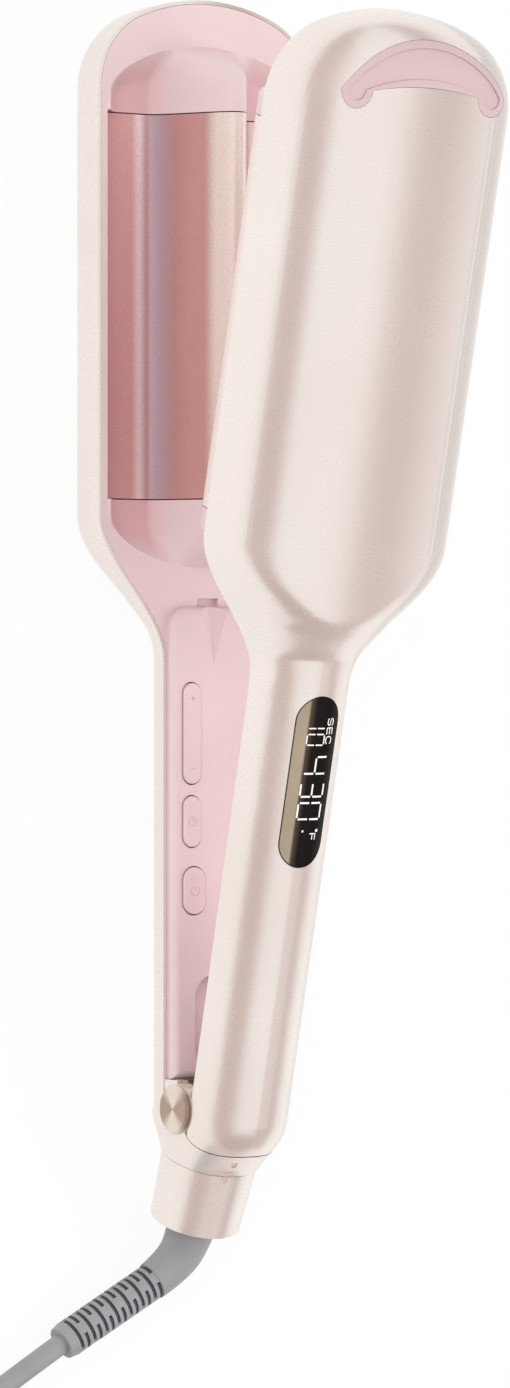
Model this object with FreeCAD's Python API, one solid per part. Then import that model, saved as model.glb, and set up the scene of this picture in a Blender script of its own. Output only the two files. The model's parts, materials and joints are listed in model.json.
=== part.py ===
import FreeCAD, Part
import math
import os

os.makedirs("parts", exist_ok=True)
V = FreeCAD.Vector

# Whole tool: lengths run from the hinge axis along an arm, in millimetres and degrees
arm_tip = 277.1          # hinge axis to the head's tip
handle_end = 112.0       # the handle starts to widen here
head_start = 148.0       # the head has its full width from here on
bulge_start = 118.5      # the head's rounded back rises from the handle here
bulge_end = 131.0        # and is level from here on
dome_end = 128.5         # the flat of its back ends here in a round
neck_lead = 1.6          # straight handle that runs into the neck
tip_length = 23.0        # rounded tip of the head
tip_corner = 20.5        # radius of that tip's corners
head_half = 32.8         # half the head's width
handle_half = 13.4       # half the handle's width
shell_corner = 12.0      # long edges of the shells
head_side = 6.0          # straight side wall above that corner, on the head
handle_side = 0.6        # the same on the handle
rim_offset = 5.8         # hinge plane to the rim of either shell
wall = 1.6               # shell wall
open_angle = 13.6        # jaw opening at rest
tail_angle = 21.5        # the tail's droop from the lower arm
rest_from_hinge = 206.0  # hinge axis to the middle of the face that it lies on

# Seam and running gaps
overrun = 2.0            # how far a cutter passes the face that it cuts
gap = 0.3                # between bodies that move apart
seat_gap = 0.1           # between pieces of one body that drop into each other
running = 0.05           # shaft in its bearing, on the radius
weld = 0.002             # faces closer than this are joined as one

# Inner covers
lip = 0.9                # shell rim that shows beside the cover
cover_thick = 2.0
panel_start = 7.2        # handle panel, from the hinge axis
panel_end = 125.0
panel_half = 12.2
panel_rise = 2.8
panel_round = 2.0        # rounded edge of the panel
panel_end_round = 5.5    # its corners at the head
panel_skin = 1.6
notch_length = 15.0      # guide notch at the panel's head end
notch_half = 4.4
notch_depth = 2.4
slot_length = 2.2        # slot behind the notch
slot_half = 3.2
slot_depth = 1.3
pocket_start = 9.5       # spring pocket in the panel
pocket_end = 33.0
pocket_half = 5.8
pocket_depth = 4.0
pocket_wall = 1.2
fin_thick = 1.6          # guide fin on the upper arm
fin_length = 5.0
fin_reach = 6.4          # how far it stands off its panel

# Wave plates
plate_start = 152.0
plate_end = 248.0
plate_half = 30.0
plate_thick = 2.2
plate_end_gap = 0.3
wave_height = 9.8        # half of crest to trough
wave_pitch = 15.5        # crest to trough across the head
land_end = 24.0          # where the outer land turns to the rim
plate_gap = 2.4          # room for hair when the jaw is shut
end_form = 17.0          # rounded ends of the waves in the cover
end_form_half = 31.2     # half the width of that oval
end_flat = 0.45          # share of it before the waves run out
skirt = 0.7              # cover wall beside the plate
ledge = 1.2              # cover ledge under the plate's edge

# Heater stack under each plate
heater_half = 4.6
heater_inset = 4.0       # shorter than the plate at each end
heater_base_below = 8.6  # heater underside below the crest
insulator_thick = 0.6
clamp_thick = 0.6
clamp_inset = 14.0
carrier_thick = 1.8
carrier_half = 20.0
rib_half = 2.0
fuse_radius = 1.6
fuse_length = 11.0
lead_radius = 0.8
lead_spread = 4.0
lead_bend = 140.0        # where the leads leave the handle's floor
lead_rise = 150.0        # and where they come level with the heater
lead_lift = 1.5          # above the heater's underside
screw_radius = 1.3
screw_head_radius = 2.4
screw_head = 1.3
screw_depth = 3.2
screw_inset = 9.0        # from the plate's ends
screw_half = 12.0

# Buttons: middle along the arm, middle across, length, width
rocker_mid = 93.4
rocker_across = 6.8
rocker_length = 25.2
rocker_width = 5.2
timer_mid = 71.4
timer_across = 6.8
timer_length = 12.7
timer_width = 5.2
power_mid = 54.1
power_across = 6.1
power_length = 11.8
power_width = 6.6
button_proud = 0.7
button_round = 0.45
button_travel = 0.6
button_flange = 0.8
flange_thick = 0.7
stem_half = 1.2
stem_length = 3.6
stem_inset = 1.4         # stems stand nearer to the arm's middle than their buttons
rocker_stem_offset = 8.5
rocker_flange = 9.0
pivot_radius = 1.0       # the rocker's own axle
pivot_below = 1.3        # under its flange's top
pivot_lug = 1.4
pivot_lug_half = 2.2
pivot_seat = 1.0         # how far it enters the panel's side wall

# Control board and display
board_half = 7.9
board_thick = 1.2
board_start = 42.0
board_end = 108.0
switch_half = 1.9
switch_height = 3.0
plunger_radius = 1.0
board_post_radius = 1.6
board_post_inset = 4.0
display_mid = 88.4
display_length = 43.4
display_width = 12.8
module_length = 37.0
module_half = 5.0
module_thick = 2.4
module_bar = 4.2
lens_sag = 0.6           # room for the lens's round underside

# Pink crescent at the head's tip: outer and inner arcs
crescent_outer = 272.0
crescent_inner = 260.7
crescent_foot = 259.2
crescent_half = 24.6
crescent_inner_half = 15.6
crescent_aside = 1.5      # off the head's middle line
crescent_thick = 1.0
crescent_border = 1.9
crescent_recess = 0.35

# Hinge
pin_radius = 2.0
ear_radius = 6.3
ear_outer = 13.2
ear_thick = 3.4
barrel_radius = 5.6
barrel_inner = 5.6       # the spring sits between the two barrels
bush_wall = 1.0
cap_radius = 6.15
cap_thick = 1.4
cap_bevel = 0.5
seam_x = 1.5             # middle of the upper shell's round end
seam_z = 15.0
seam_radius = 13.3
block_end = 20.0
block_low = 4.8
block_high = 11.0
block_foot = 16.5        # the block stands on the shell's floor
foot_half = 3.5
bridge_start = 7.4
spring_wire = 0.55
spring_radius = 3.3
spring_pitch = 1.7
spring_turns = 5

# Tail, lock ring and cord guard, along the tail's own axis
ring_start = 13.3
ring_length = 17.4
ring_top_radius = 12.2
ring_end_radius = 11.4
ring_lip = 1.4
ring_gap = 0.3
bowl_end_half = 12.5
spigot_radius = 9.4
spigot_bore = 7.2
swivel_bore = 4.0
swivel_length = 11.0
swivel_end = 28.8
guard_radius = 6.2       # cord guard at the ring
guard_room = 0.8         # round the guard in the ring's lip, since the guard leaves at a slant
guard_rib_radius = 4.65
guard_end_radius = 4.2
guard_bend = 17.0
guard_rib_length = 29.8
guard_collar = 2.2
guard_slots = 15
guard_slot_width = 1.0
guard_slot_depth = 1.1
guard_bridge = 3.0
guard_turn = 55.0        # turn of the slots' bridges about the guard
guard_collar_height = 4.9  # axis height at its free end
guard_knee = (-39.5, 0.0, 7.0)  # where the guard turns, from the hinge axis and the floor
guard_free_end = (-58.6, 35.2)

# Cord
cord_radius = 2.65
coil_pitch = 5.75
coil_small = 21.6        # radius of the tightest half turn
coil_half_turns = 7      # on each layer, besides the climb
lead_points = [(-71.0, 57.0, 4.3), (-79.5, 70.5, 3.9), (-88.5, 81.5, 3.85)]
tail_points = [(12.0, -14.0, -0.7), (13.0, -14.0, -2.0), (12.0, 0.0, 0.0)]
tie_angle = 100.0
tie_width = 12.0
tie_thick = 0.8
tie_gap = 0.25
plug_half_high = 6.8
plug_length = 25.0
plug_half = 11.5
plug_round = 3.0
plug_neck = 11.0
plug_neck_radius = 4.6
plug_entry_radius = 3.6
blade_length = 17.0
blade_width = 6.3
blade_thick = 1.5
blade_spread = 12.7

# Places that follow from the sizes above
rim = -rim_offset
handle_depth = handle_side + shell_corner
head_depth = head_side + shell_corner
tip_radius = (tip_length ** 2 + head_half ** 2 - 2 * head_half * tip_corner) / (2 * (tip_length - tip_corner))
hinge_x = -rest_from_hinge
hinge_z = rim_offset + head_depth
panel_top = rim + panel_rise
cover_low = rim - cover_thick
crest = wave_height - plate_gap / 2
head_floor = rim - head_depth + wall
handle_floor = rim - handle_depth + wall
guard_start = swivel_end + seat_gap
ring_end = ring_start + ring_gap + ring_length
lift_off = 2 * arm_tip   # taller than anything in an arm

nodes = {}


def line(a, b):
    return Part.LineSegment(a, b).toShape()


def arc(a, b, c):
    return Part.Arc(a, b, c).toShape()


def block(x0, x1, y0, y1, z0, z1):
    return Part.makeBox(x1 - x0, y1 - y0, z1 - z0, V(x0, y0, z0))


def rod(start, axis, radius, length):
    return Part.makeCylinder(radius, length, start, axis)


def mixed(a, b, share):
    return a + (b - a) * share


def neck_share(x):
    t = min(1.0, max(0.0, (x - handle_end) / (head_start - handle_end)))
    return t * t * (3 - 2 * t)


def half_at(x):
    return mixed(handle_half, head_half, neck_share(x))


def bulge_share(x):
    t = min(1.0, max(0.0, (x - bulge_start) / (bulge_end - bulge_start)))
    return 1 - (1 - t ** 1.5) ** 2.2


def depth_at(x):
    return mixed(handle_depth, head_depth, bulge_share(x))


def side_at(x):
    return mixed(handle_side, head_side, neck_share(x))


def flat_at(x):
    t = min(1.0, max(0.0, (head_start - x) / (head_start - dome_end)))
    return mixed(handle_half - shell_corner, head_half - shell_corner, (1 - t ** 2.6) ** 1.25)


# Quarter of an ellipse from a side wall round to a flat
def quarter(start, corner, end):
    curve = Part.BSplineCurve()
    curve.buildFromPolesMultsKnots([start, corner, end], (3, 3), (0, 1), False, 2, (1, math.sqrt(1 / 2), 1))
    return curve.toShape()


def fused(first, *others):
    return first.fuse(list(others)).removeSplitter()


def capsule(x_mid, y_mid, length, width, z0, z1):
    r = width / 2
    x0 = x_mid - length / 2 + r
    x1 = x_mid + length / 2 - r
    low = [V(x0, y_mid - r, z0), V(x1, y_mid - r, z0), V(x1, y_mid + r, z0), V(x0, y_mid + r, z0)]
    outline = [line(low[0], low[1]), arc(low[1], V(x1 + r, y_mid, z0), low[2])]
    outline += [line(low[2], low[3]), arc(low[3], V(x0 - r, y_mid, z0), low[0])]
    return Part.Face(Part.Wire(outline)).extrude(V(0, 0, z1 - z0))


# Arm shells: a trough whose section widens from the handle to the head
def trough(x, inset, top):
    half = half_at(x) - inset
    flat = flat_at(x)
    low = rim - side_at(x)
    base = rim - depth_at(x) + inset
    a, b = V(x, -half, top), V(x, -half, low)
    c, d = V(x, -flat, base), V(x, flat, base)
    e, f = V(x, half, low), V(x, half, top)
    left = quarter(b, V(x, -half, base), c)
    right = quarter(d, V(x, half, base), e)
    return Part.Wire([line(a, b), left, line(c, d), right, line(e, f), line(f, a)])


def across_arm(point):
    return V(point.x, -point.y, point.z)


# The head's straight sides, two corner arcs and the arc of its tip
def head_outline(x_start, inset, z):
    half = head_half - inset
    corner = V(arm_tip - tip_length, head_half - tip_corner, z)
    way = (corner - V(arm_tip - tip_radius, 0, z)).normalize()
    radius = tip_corner - inset
    begin, first = V(x_start, half, z), corner + V(0, radius, 0)
    middle = corner + (way + V(0, 1, 0)).normalize() * radius
    last = corner + way * radius
    edges = [line(across_arm(begin), across_arm(first))]
    edges.append(arc(across_arm(first), across_arm(middle), across_arm(last)))
    edges.append(arc(across_arm(last), V(arm_tip - inset, 0, z), last))
    edges.append(arc(last, middle, first))
    edges.append(line(first, begin))
    edges.append(line(begin, across_arm(begin)))
    return edges


def head_block(inset, top):
    base = rim - head_depth + inset
    face = Part.Face(Part.Wire(head_outline(head_start, inset, base)))
    solid = face.extrude(V(0, 0, top - base))
    edges = []
    for edge in solid.Edges:
        box = edge.BoundBox
        if abs(box.ZMax - base) < seat_gap and box.XMax > head_start + wall:
            edges.append(edge)
    return solid.makeFillet(shell_corner - inset, edges)


def arm_body(inset, top, x_start):
    grip_end = handle_end - neck_lead
    grip = Part.Face(trough(x_start, inset, top)).extrude(V(grip_end - x_start, 0, 0))
    rise_shares = [0, 0.08, 0.18, 0.28, 0.36, 0.43, 0.5, 0.57, 0.64, 0.71, 0.78, 0.85, 0.91, 0.96, 1]
    rise_at = [grip_end, handle_end - neck_lead / 2] + [mixed(handle_end, bulge_end, s) for s in rise_shares]
    rise = Part.makeLoft([trough(x, inset, top) for x in rise_at], True, False)
    spread_shares = [0, 0.15, 0.32, 0.5, 0.7, 0.86, 1]
    spread_at = [mixed(bulge_end, head_start, s) for s in spread_shares]
    spread = Part.makeLoft([trough(x, inset, top) for x in spread_at], True, False)
    return fused(grip, rise, spread, head_block(inset, top))


# Plan of an arm, drawn in by an inset, as a flat slab
def plan_slab(inset, x_start, z0, z1):
    sides = []
    for sign in (-1, 1):
        shares = [0, 0.17, 0.33, 0.5, 0.67, 0.83, 1]
        xs = [mixed(handle_end, head_start, s) for s in shares]
        curve = Part.BSplineCurve()
        points = [V(x, sign * (half_at(x) - inset), z0) for x in xs]
        curve.interpolate(Points=points, InitialTangent=V(1, 0, 0), FinalTangent=V(1, 0, 0))
        sides.append(curve.toShape())
    half = handle_half - inset
    a, b = V(x_start, -half, z0), V(handle_end, -half, z0)
    c, d = V(handle_end, half, z0), V(x_start, half, z0)
    head = head_outline(head_start, inset, z0)
    edges = [line(a, b), sides[0]] + head[:-1] + [sides[1], line(c, d), line(d, a)]
    wire = Part.Wire(Part.__sortEdges__(edges))
    return Part.Face(wire).extrude(V(0, 0, z1 - z0))


# Tail: rounded sections that turn from an arm to the tail's axis
tail_axis = V(-math.cos(math.radians(tail_angle)), 0, -math.sin(math.radians(tail_angle)))
tail_turn = FreeCAD.Rotation(V(0, 0, 1), tail_axis)


def along_tail(shape):
    shape.Placement = FreeCAD.Placement(V(0, 0, 0), tail_turn)
    return shape


def rounded_section(center, tilt, half, height, corner):
    up = V(-math.sin(tilt), 0, math.cos(tilt))
    across = V(0, 1, 0)
    bend = corner * math.sqrt(0.5)
    flat_y, flat_z = half - corner, height - corner

    def at(y, z):
        return center + across * y + up * z
    edges = []
    for sy, sz in ((1, 1), (-1, 1), (-1, -1), (1, -1)):
        first = at(sy * half, sz * flat_z) if sy == sz else at(sy * flat_y, sz * height)
        last = at(sy * flat_y, sz * height) if sy == sz else at(sy * half, sz * flat_z)
        middle = at(sy * (flat_y + bend), sz * (flat_z + bend))
        edges.append(arc(first, middle, last))
    ends = [edge.Vertexes[-1].Point for edge in edges]
    starts = [edge.Vertexes[0].Point for edge in edges]
    loop = []
    for i in range(len(edges)):
        loop.append(edges[i])
        loop.append(line(ends[i], starts[(i + 1) % len(edges)]))
    return Part.Wire(loop)


def tail_body(start_tilt, inset, length):
    distance_shares = [0, 0.38, 0.72, 1]
    tilt_shares = [0, 0.45, 0.8, 1]
    width_shares = [0, 0.06, 0.45, 1]
    height_shares = [0, 0.2, 0.68, 1]
    full_height = rim_offset + handle_depth
    corner = shell_corner - inset
    sections = []
    for d, t, w, h in zip(distance_shares, tilt_shares, width_shares, height_shares):
        tilt = math.radians(mixed(start_tilt, tail_angle, t))
        half = mixed(handle_half, bowl_end_half, w) - inset
        height = mixed(full_height, bowl_end_half, h) - inset
        sections.append(rounded_section(tail_axis * (d * length), tilt, half, height, corner))
    return Part.makeLoft(sections, True, False)


def seam_front(radius):
    side = 2 * handle_half
    round_end = rod(V(seam_x, -side, seam_z), V(0, 1, 0), radius, 2 * side)
    rest = block(seam_x, handle_end, -side, side, rim, seam_z + 2 * seam_radius)
    return round_end.fuse(rest)


# Turns an arm that is drawn like the lower one into the open upper one
upper_place = FreeCAD.Placement(V(0, 0, 0), FreeCAD.Rotation(V(0, 1, 0), -open_angle))
upper_place = upper_place.multiply(FreeCAD.Placement(V(0, 0, 0), FreeCAD.Rotation(V(1, 0, 0), 180)))


def to_upper(shape):
    moved = shape.copy()
    moved.Placement = upper_place.multiply(moved.Placement)
    return moved


def from_open(shape):
    moved = shape.copy()
    moved.Placement = upper_place.inverse().multiply(moved.Placement)
    return moved


# Wave profile across a head: sign 1 has its crest in the middle, -1 its trough
def wave(y, sign, falls):
    middle = -plate_gap / 2
    y = abs(y)
    if y <= wave_pitch:
        return middle + sign * wave_height * math.cos(math.pi * y / wave_pitch)
    land = middle - sign * wave_height
    if not falls or y <= land_end:
        return land
    t = min(1.0, (y - land_end) / (plate_half - land_end))
    return mixed(land, rim, (1 - math.cos(math.pi * t)) / 2)


def wave_steps():
    count = 48
    return [plate_half * (2 * i / count - 1) for i in range(count + 1)]


def wave_slab(sign, drop, low, x0, x1, y_scale):
    points = [V(x0, y * y_scale, wave(y, sign, sign < 0) - drop) for y in wave_steps()]
    curve = Part.BSplineCurve()
    curve.interpolate(points)
    top = curve.toShape()
    if low is None:
        lower = top.copy()
        lower.translate(V(0, 0, -plate_thick))
    else:
        lower = line(V(x0, points[0].y, low), V(x0, points[-1].y, low))
    a, b = points[0], points[-1]
    c, d = lower.Vertexes[-1].Point, lower.Vertexes[0].Point
    wire = Part.Wire(Part.__sortEdges__([top, line(b, c), lower, line(d, a)]))
    return Part.Face(wire).extrude(V(x1 - x0, 0, 0))


# The cover's surface beyond a plate's end, where the waves run out into the flat panel
def end_slab(sign, x_from, direction):
    rows = []
    count = 16
    for i in range(count + 1):
        u = i / count
        t = max(0.0, (u - end_flat) / (1 - end_flat))
        fade = math.cos(math.pi * t / 2)
        row = []
        for y in wave_steps():
            reach = end_form * math.sqrt(1 - (y / end_form_half) ** 2)
            z = rim + (wave(y, sign, True) - rim) * fade
            row.append(V(x_from + direction * reach * u, y, z))
        rows.append(row)
    surface = Part.BSplineSurface()
    surface.interpolate(rows)
    edge = surface.uIso(surface.bounds()[1]).toShape()
    ends = [vertex.Point for vertex in edge.Vertexes]
    corners = [V(x_from, ends[1].y, rim), V(x_from, ends[0].y, rim)]
    outline = [edge, line(ends[1], corners[0]), line(corners[0], corners[1]), line(corners[1], ends[0])]
    hole = Part.Face(Part.Wire(outline))
    hole.translate(V(0, 0, overrun))
    return surface.toShape().extrude(V(0, 0, -cover_thick)), hole.extrude(V(0, 0, -cover_thick - 2 * overrun))


def wave_depth(sign):
    edge = wave(plate_half, sign, sign < 0)
    return edge - plate_thick - seat_gap


def crescent_face(border, z):
    outer = crescent_outer - border
    inner = crescent_inner + border
    half = crescent_half - border
    inner_half = crescent_inner_half + border
    a, b = V(crescent_foot, -half, z), V(crescent_foot, half, z)
    c, d = V(crescent_foot, inner_half, z), V(crescent_foot, -inner_half, z)
    foot = (half - inner_half) / 2
    mid_y = (half + inner_half) / 2
    edges = [arc(a, V(outer, 0, z), b), arc(b, V(crescent_foot - foot, mid_y, z), c)]
    edges += [arc(c, V(inner, 0, z), d), arc(d, V(crescent_foot - foot, -mid_y, z), a)]
    face = Part.Face(Part.Wire(edges))
    face.translate(V(0, crescent_aside, 0))
    return face


# Skin of an arm between two insets, for pieces that lie in its outer surface
def skin(outer_inset, inner_inset):
    return arm_body(outer_inset, rim, panel_start).cut(arm_body(inner_inset, rim + overrun, panel_start))


def crescent_insert(sunk):
    deep = rim - head_depth - overrun
    layer = head_block(sunk, rim).cut(head_block(sunk + crescent_thick, rim + overrun))
    solid = layer.common(crescent_face(seat_gap, deep).extrude(V(0, 0, head_depth)))
    hollow = head_block(0, rim).cut(head_block(sunk + crescent_recess, rim + overrun))
    hollow = hollow.common(crescent_face(crescent_border, deep).extrude(V(0, 0, head_depth)))
    return solid.cut(hollow)


def crescent_seat(sunk):
    deep = rim - head_depth - overrun
    depth = sunk + crescent_thick
    layer = head_block(0, rim).cut(head_block(depth, rim + overrun))
    layer = layer.fuse(head_block(-seat_gap, rim).cut(head_block(depth, rim + overrun)))
    return layer.common(crescent_face(0, deep).extrude(V(0, 0, head_depth)))


# Inner cover of an arm, without what its handle panel carries
def inner_cover(sign):
    edge = lip + seat_gap
    top = crest + overrun
    near, far = plate_start - plate_end_gap, plate_end + plate_end_gap
    slab = plan_slab(edge, panel_start, cover_low, rim)
    window = plate_half + seat_gap
    slab = slab.cut(block(near, far, -window, window, cover_low - overrun, top))
    forms = []
    for x, direction in ((far, 1), (near, -1)):
        form, hole = end_slab(sign, x, direction)
        slab = slab.cut(hole)
        forms.append(form)
    skirts = []
    under = wave_depth(sign)
    for side in (-1, 1):
        y0, y1 = sorted((side * window, side * (window + skirt)))
        skirts.append(block(plate_start, plate_end, y0, y1, under - ledge, cover_low))
        y0, y1 = sorted((side * (plate_half - ledge), side * window))
        skirts.append(block(plate_start, plate_end, y0, y1, under - ledge, under))
    return slab.fuse(forms + skirts, weld).removeSplitter()


def handle_panel():
    half = panel_half
    r = panel_end_round
    bend = r * (1 - math.sqrt(0.5))
    a, b = V(panel_start, -half, rim), V(panel_end - r, -half, rim)
    c, d = V(panel_end, -half + r, rim), V(panel_end, half - r, rim)
    e, f = V(panel_end - r, half, rim), V(panel_start, half, rim)
    first = arc(b, V(panel_end - bend, -half + bend, rim), c)
    second = arc(d, V(panel_end - bend, half - bend, rim), e)
    wire = Part.Wire([line(a, b), first, line(c, d), second, line(e, f), line(f, a)])
    solid = Part.Face(wire).extrude(V(0, 0, panel_rise))
    top = [edge for edge in solid.Edges if edge.BoundBox.ZMin > panel_top - seat_gap]
    return solid.makeFillet(panel_round, top)


def panel_hollow():
    half = panel_half - panel_skin
    end = panel_end - panel_skin
    return block(panel_start + panel_skin, end, -half, half, cover_low - overrun, panel_top - panel_skin)


def notch_cut():
    end = panel_end + seat_gap
    a, b = V(end, notch_half, panel_top + seat_gap), V(end, -notch_half, panel_top + seat_gap)
    c, d = V(end - notch_length, 0, panel_top + seat_gap), V(end, 0, panel_top - notch_depth)
    faces = []
    for corners in ((a, b, c), (a, b, d), (b, c, d), (c, a, d)):
        faces.append(Part.Face(Part.makePolygon(list(corners) + [corners[0]])))
    return Part.makeSolid(Part.makeShell(faces))


def notch_walls():
    x0 = panel_end - notch_length
    return block(x0, panel_end - panel_skin, -notch_half - panel_skin, notch_half + panel_skin,
                 panel_top - notch_depth - panel_skin, panel_top - panel_skin)


# Heater stack of one head
def heater_stack(name, sign, centers, ribs, lead_start):
    x0, x1 = plate_start + heater_inset, plate_end - heater_inset
    below = wave_slab(sign, plate_thick + seat_gap, head_floor - overrun, plate_start, plate_end, 1)
    low = crest - plate_thick - heater_base_below
    heaters, sheets, clamps, fuses = [], [], [], []
    base = head_floor + carrier_thick + seat_gap
    for y in centers:
        bar = block(x0, x1, y - heater_half, y + heater_half, low, crest)
        heaters.append(bar.common(below))
        sheet_low = low - insulator_thick
        sheets.append(block(x0, x1, y - heater_half, y + heater_half, sheet_low, low))
        c0, c1 = plate_start + clamp_inset, plate_end - clamp_inset
        outer = block(c0, c1, y - heater_half, y + heater_half, base, sheet_low)
        inner_half = heater_half - clamp_thick
        inner = block(c0 - overrun, c1 + overrun, y - inner_half, y + inner_half, base - overrun,
                      sheet_low - clamp_thick)
        clamps.append(outer.cut(inner))
    middle = (x0 + x1) / 2
    fuse_low = low - insulator_thick - clamp_thick - fuse_radius - seat_gap
    fuses.append(rod(V(middle, centers[0], fuse_low), V(1, 0, 0), fuse_radius, fuse_length))
    carrier = block(x0, x1, -carrier_half, carrier_half, head_floor + seat_gap, head_floor + carrier_thick)
    for y in ribs:
        rib = block(x0, x1, y - rib_half, y + rib_half, head_floor + carrier_thick, crest)
        carrier = carrier.fuse(rib.common(below))
    screws = []
    for x in (plate_start + screw_inset, plate_end - screw_inset):
        for y in (-screw_half, screw_half):
            seat = V(x, y, head_floor + carrier_thick)
            carrier = carrier.cut(rod(seat - V(0, 0, 2 * carrier_thick), V(0, 0, 1), screw_radius + seat_gap,
                                      3 * carrier_thick))
            head = rod(seat, V(0, 0, 1), screw_head_radius, screw_head)
            shank = rod(seat - V(0, 0, screw_depth - wall), V(0, 0, 1), screw_radius, screw_depth - wall)
            screws.append(head.fuse(shank))
    leads = []
    for side in (-1, 1):
        far = centers[-1] + lead_spread / 2
        route = [V(lead_start, side * lead_spread, lead_height), V(lead_bend, side * lead_spread, lead_height),
                 V(lead_rise, side * far, low + lead_lift), V(x0 - seat_gap, side * far, low + lead_lift)]
        leads.append(tube(route, lead_radius, name + " lead")[0])
    return {name + "_heater": heaters, name + "_insulator": sheets, name + "_heater_clamp": clamps,
            name + "_thermal_fuse": fuses, name + "_plate_carrier": [carrier],
            name + "_plate_screws": screws, name + "_heater_leads": leads}


lead_height = handle_floor + lead_radius + 2 * wall


def gathered(solids):
    return solids[0] if len(solids) == 1 else Part.makeCompound(solids)


# Bosses on the shell floor for the screws of the plate carrier
def screw_holes(shell):
    for x in (plate_start + screw_inset, plate_end - screw_inset):
        for y in (-screw_half, screw_half):
            start = V(x, y, head_floor + carrier_thick - screw_depth + wall - seat_gap)
            shell = shell.cut(rod(start, V(0, 0, 1), screw_radius + seat_gap, screw_depth))
    return shell


# Lower arm
def lower_arm():
    tail_inside = ring_start - wall
    outer = fused(arm_body(0, rim, 0), tail_body(0, 0, ring_start), tail_body(open_angle, 0, ring_start))
    inner = arm_body(wall, rim + overrun, 0)
    inner = inner.fuse([tail_body(0, wall, tail_inside), tail_body(open_angle, wall, tail_inside)])
    shell = outer.cut(seam_front(seam_radius + gap)).cut(inner)
    shell = shell.cut(plan_slab(lip, -ear_radius, cover_low, rim + overrun))
    ears = []
    for side in (-1, 1):
        y0, y1 = sorted((side * (ear_outer - ear_thick), side * ear_outer))
        ear = rod(V(0, y0, 0), V(0, 1, 0), ear_radius, y1 - y0)
        foot = block(-ear_radius, panel_start - seat_gap, y0, y1, rim - ear_thick, 0)
        ears.append(ear.fuse(foot))
    spigot = along_tail(rod(V(0, 0, tail_inside), V(0, 0, 1), spigot_radius, swivel_end - tail_inside))
    shell = fused(shell, spigot, *ears)
    wide = 4 * handle_half
    bore = along_tail(rod(V(0, 0, tail_inside - wall), V(0, 0, 1), spigot_bore, swivel_end))
    shell = shell.cut(bore)
    shell = shell.cut(rod(V(0, -wide / 2, 0), V(0, 1, 0), pin_radius + running, wide))
    for side in (-1, 1):
        seat = rod(V(0, side * ear_outer, 0), V(0, side, 0), cap_radius + gap, wall + overrun)
        shell = shell.cut(seat)
    barrel_room = rod(V(0, -ear_outer + ear_thick, 0), V(0, 1, 0), barrel_radius + gap,
                      2 * (ear_outer - ear_thick))
    shell = shell.cut(barrel_room)
    posts = []
    for x in (board_start + board_post_inset, board_end - board_post_inset):
        posts.append(rod(V(x, 0, handle_floor - wall / 2), V(0, 0, 1), board_post_radius,
                         board_low - handle_floor + wall / 2 - seat_gap))
    shell = fused(shell, *posts)
    shell = shell.cut(crescent_seat(lower_sunk))
    nodes["lower_shell"] = screw_holes(shell)
    nodes["lower_tip_insert"] = crescent_insert(lower_sunk)

    cover = inner_cover(1)
    cover = fused(cover, handle_panel())
    pocket_mid = (pocket_start + pocket_end) / 2
    pocket_length = pocket_end - pocket_start
    tray = capsule(pocket_mid, 0, pocket_length + 2 * pocket_wall, 2 * (pocket_half + pocket_wall),
                   cover_low - 2 * overrun, panel_top)
    hollow = panel_hollow().cut(notch_walls()).cut(tray)
    cover = cover.cut(hollow).cut(notch_cut())
    cover = cover.cut(block(panel_end + seat_gap, panel_end + slot_length, -slot_half, slot_half,
                            rim - slot_depth, rim + overrun))
    cover = cover.cut(capsule(pocket_mid, 0, pocket_length, 2 * pocket_half, panel_top - pocket_depth,
                              panel_top + overrun))
    lug_end = rocker_lug_start + pivot_lug
    lug = block(rocker_mid - pivot_lug_half, rocker_mid + pivot_lug_half, rocker_lug_start, lug_end,
                pivot_z - pivot_radius - panel_skin / 2, panel_top - panel_skin / 2)
    cover = fused(cover, lug)
    seat_end = panel_half - panel_skin + pivot_seat + seat_gap
    cover = cover.cut(rod(V(rocker_mid, rocker_lug_start - overrun, pivot_z), V(0, 1, 0),
                          pivot_radius + running, seat_end - rocker_lug_start + overrun))
    for x, y, length, width in buttons.values():
        cover = cover.cut(capsule(x, y, length + 2 * gap, width + 2 * gap, cover_low, panel_top + overrun))
    nodes["lower_inner_cover"] = cover
    nodes["lower_heat_plate"] = wave_slab(1, 0, None, plate_start, plate_end, 1)
    rib_mid = carrier_half - rib_half
    parts = heater_stack("lower", 1, [0], [-rib_mid, rib_mid], board_end)
    for name, solids in parts.items():
        nodes[name] = gathered(solids)


buttons = {
    "temperature_rocker": (rocker_mid, rocker_across, rocker_length, rocker_width),
    "timer_button": (timer_mid, timer_across, timer_length, timer_width),
    "power_button": (power_mid, power_across, power_length, power_width),
}
flange_top = panel_top - panel_skin - gap
stem_low = flange_top - flange_thick - stem_length
board_top = stem_low - button_travel - gap - switch_height
board_low = board_top - board_thick
pivot_z = flange_top - pivot_below
rocker_lug_start = rocker_across - rocker_width / 2 - button_flange - gap - pivot_lug
lower_sunk = 0.2


def button_stems(name):
    x, y, length, width = buttons[name]
    y -= stem_inset
    if name == "temperature_rocker":
        return [(x - rocker_stem_offset, y), (x + rocker_stem_offset, y)]
    return [(x, y)]


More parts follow.
